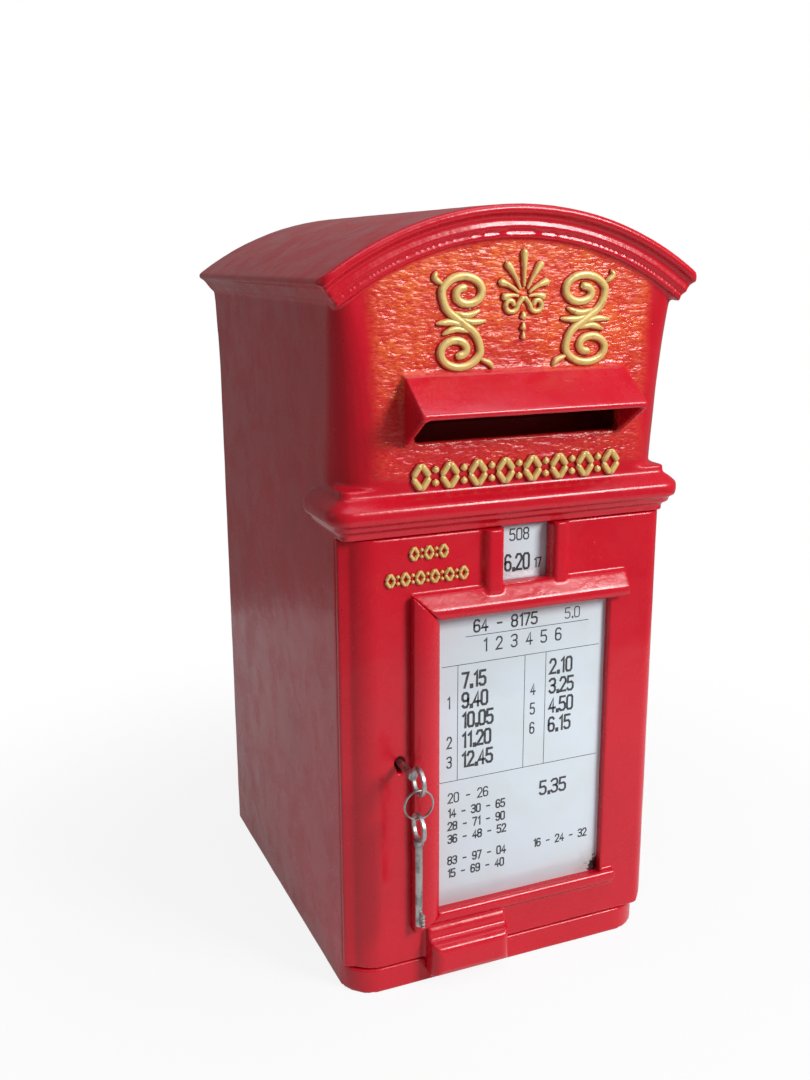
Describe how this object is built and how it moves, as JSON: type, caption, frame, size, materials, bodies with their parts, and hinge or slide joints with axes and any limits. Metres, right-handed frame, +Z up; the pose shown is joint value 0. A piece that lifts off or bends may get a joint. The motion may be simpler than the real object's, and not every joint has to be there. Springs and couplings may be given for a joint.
{
  "type": "letter collection box",
  "caption": "Cast-iron wall box with a hooded letter or coin slot, arched roof, locking hinged front door, notice window, number tablet and keys on a ring.",
  "frame": {"origin": "centre of the footprint at the bottom of the box", "axes": "+X to the right seen from the front, the front faces -Y, +Z up"},
  "size_m": [0.259, 0.3215, 0.51],
  "materials": {
    "red_iron": "thick gloss paint over rough casting",
    "door_iron": "thick gloss paint over casting",
    "inner_iron": "gloss paint, thinner inside",
    "enamel": "vitreous enamel on steel",
    "brass": "dull lock brass",
    "steel": "plain steel screws and pins",
    "key_steel": "worn nickel-grey key steel",
    "sheet": "zinc-plated sheet"
  },
  "bodies": {
    "carcase": {"body_casting": "red_iron", "back_plate": "inner_iron", "back_screws": "steel", "base_plate": "inner_iron", "base_screws": "steel", "letter_baffle": "sheet", "baffle_screws": "steel", "hinge_pin_upper": "steel", "hinge_pin_lower": "steel", "bolt_keeper": "sheet", "keeper_screws": "steel"},
    "door": {"door_casting": "door_iron", "retaining_strip": "door_iron", "strip_screws": "steel", "notice_plate": "enamel", "tablet_holder": "brass", "holder_screws": "steel", "lock_case": "brass", "lock_cap": "brass", "lock_screws": "steel", "lock_levers": "brass", "lever_pivot": "steel", "lever_spring": "steel"},
    "tablet": {"number_tablet": "enamel"},
    "bolt": {"lock_bolt": "brass"},
    "curtain": {"lock_curtain": "brass"},
    "key": {"door_key": "key_steel"},
    "ring": {"split_ring": "key_steel"},
    "spare": {"spare_key": "key_steel"}
  },
  "joints": [
    {"name": "door_swing", "type": "hinge", "parent": "carcase", "child": "door", "pos_m": [0.104, -0.1295, 0.165], "axis": [0, 0, 1], "range_deg": [0, 115]},
    {"name": "tablet_lift", "type": "slide", "parent": "door", "child": "tablet", "axis": [0, 0, 1], "range_m": [0, 0.04]},
    {"name": "key_turn", "type": "hinge", "parent": "door", "child": "curtain", "pos_m": [-0.079, -0.131, 0.164], "axis": [0, -1, 0], "range_deg": [0, 360]},
    {"name": "bolt_throw", "type": "slide", "parent": "door", "child": "bolt", "axis": [-1, 0, 0], "range_m": [0, 0.0073]},
    {"name": "key_withdraw", "type": "slide", "parent": "curtain", "child": "key", "axis": [0, -1, 0], "range_m": [0, 0.045]},
    {"name": "ring_swing", "type": "hinge", "parent": "key", "child": "ring", "pos_m": [-0.079, -0.171, 0.158], "axis": [0, 1, 0], "range_deg": [-12, 12]},
    {"name": "spare_key_swing", "type": "hinge", "parent": "ring", "child": "spare", "pos_m": [-0.079, -0.171, 0.1388], "axis": [1, 0, 0], "range_deg": [-60, 12]}
  ],
  "couplings": [
    {"joint": "bolt_throw", "follows": "key_turn", "m_per_rad": 0.0011141}
  ]
}
